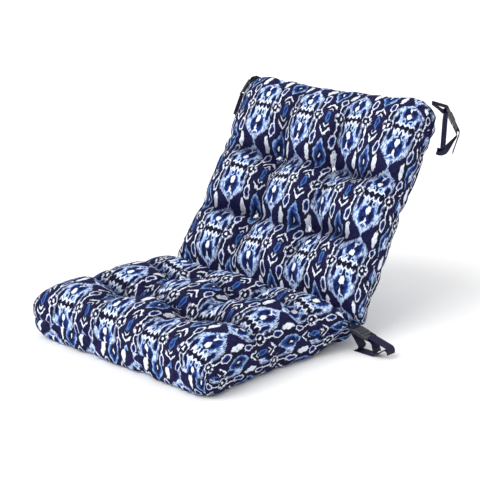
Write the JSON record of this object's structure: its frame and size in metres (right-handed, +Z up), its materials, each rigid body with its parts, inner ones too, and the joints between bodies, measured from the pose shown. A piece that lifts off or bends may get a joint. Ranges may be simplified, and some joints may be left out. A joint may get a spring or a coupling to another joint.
{
  "type": "chair seat and back cushion",
  "caption": "Two-part tufted outdoor chair cushion: a seat pad and a back pad sewn together along a hinge line, with webbing loops and side-release buckles at its corners.",
  "frame": {"origin": "centre of the seat pad's flat underside", "axes": "+X to the right of someone sitting on it seen from behind, that is across the cushion; -Y out of the seat's front edge; +Z up; the hinge line is parallel to X"},
  "size_m": [0.732, 0.7438, 0.492],
  "materials": {
    "cover_print": "printed woven polyester, matt",
    "cover_ground": "woven polyester, matt",
    "fibre_fill": "loose polyester fibre",
    "tuft_twine": "waxed white twine",
    "thread": "sewing thread",
    "webbing": "woven webbing, slight sheen",
    "buckle_plastic": "moulded, fine grain"
  },
  "bodies": {
    "seat_pad": {"seat_top_panel": "cover_print", "seat_bottom_panel": "cover_print", "seat_fibre_fill": "fibre_fill", "seat_seam_allowance": "cover_ground", "seat_tuft_twine_rear_left": "tuft_twine", "seat_tuft_twine_rear_right": "tuft_twine", "seat_tuft_twine_front_left": "tuft_twine", "seat_tuft_twine_front_right": "tuft_twine", "hinge_seam_strip": "cover_ground", "hinge_stitching": "thread", "hinge_right_short_strap": "webbing", "hinge_right_long_strap": "webbing", "hinge_right_buckle_socket": "buckle_plastic", "hinge_left_short_strap": "webbing", "hinge_left_long_strap": "webbing", "hinge_left_buckle_socket": "buckle_plastic"},
    "back_pad": {"back_front_panel": "cover_print", "back_rear_panel": "cover_print", "back_fibre_fill": "fibre_fill", "back_seam_allowance": "cover_ground", "back_tuft_twine_lower_left": "tuft_twine", "back_tuft_twine_lower_right": "tuft_twine", "back_tuft_twine_upper_left": "tuft_twine", "back_tuft_twine_upper_right": "tuft_twine", "top_right_short_strap": "webbing", "top_right_long_strap": "webbing", "top_right_buckle_socket": "buckle_plastic", "top_left_short_strap": "webbing", "top_left_long_strap": "webbing", "top_left_buckle_socket": "buckle_plastic"},
    "hinge_right_clip": {"hinge_right_buckle_clip": "buckle_plastic", "hinge_right_buckle_prongs": "buckle_plastic"},
    "hinge_left_clip": {"hinge_left_buckle_clip": "buckle_plastic", "hinge_left_buckle_prongs": "buckle_plastic"},
    "top_right_clip": {"top_right_buckle_clip": "buckle_plastic", "top_right_buckle_prongs": "buckle_plastic"},
    "top_left_clip": {"top_left_buckle_clip": "buckle_plastic", "top_left_buckle_prongs": "buckle_plastic"}
  },
  "joints": [
    {"name": "back_fold", "type": "hinge", "parent": "seat_pad", "child": "back_pad", "pos_m": [0, 0.223, 0.046], "axis": [1, 0, 0], "range_deg": [-58, 32]},
    {"name": "top_right_buckle_release", "type": "slide", "parent": "back_pad", "child": "top_right_clip", "axis": [0.5795, -0.0535, -0.8132], "range_m": [0, 0.028], "deforming": ["top_right_buckle_prongs", "top_right_long_strap"]},
    {"name": "top_left_buckle_release", "type": "slide", "parent": "back_pad", "child": "top_left_clip", "axis": [-0.5795, -0.0535, -0.8132], "range_m": [0, 0.028], "deforming": ["top_left_buckle_prongs", "top_left_long_strap"]},
    {"name": "hinge_right_buckle_release", "type": "slide", "parent": "seat_pad", "child": "hinge_right_clip", "axis": [0.9703, 0, -0.2419], "range_m": [0, 0.028], "deforming": ["hinge_right_buckle_prongs", "hinge_right_long_strap"]},
    {"name": "hinge_left_buckle_release", "type": "slide", "parent": "seat_pad", "child": "hinge_left_clip", "axis": [-0.9703, 0, -0.2419], "range_m": [0, 0.028], "deforming": ["hinge_left_buckle_prongs", "hinge_left_long_strap"]}
  ]
}
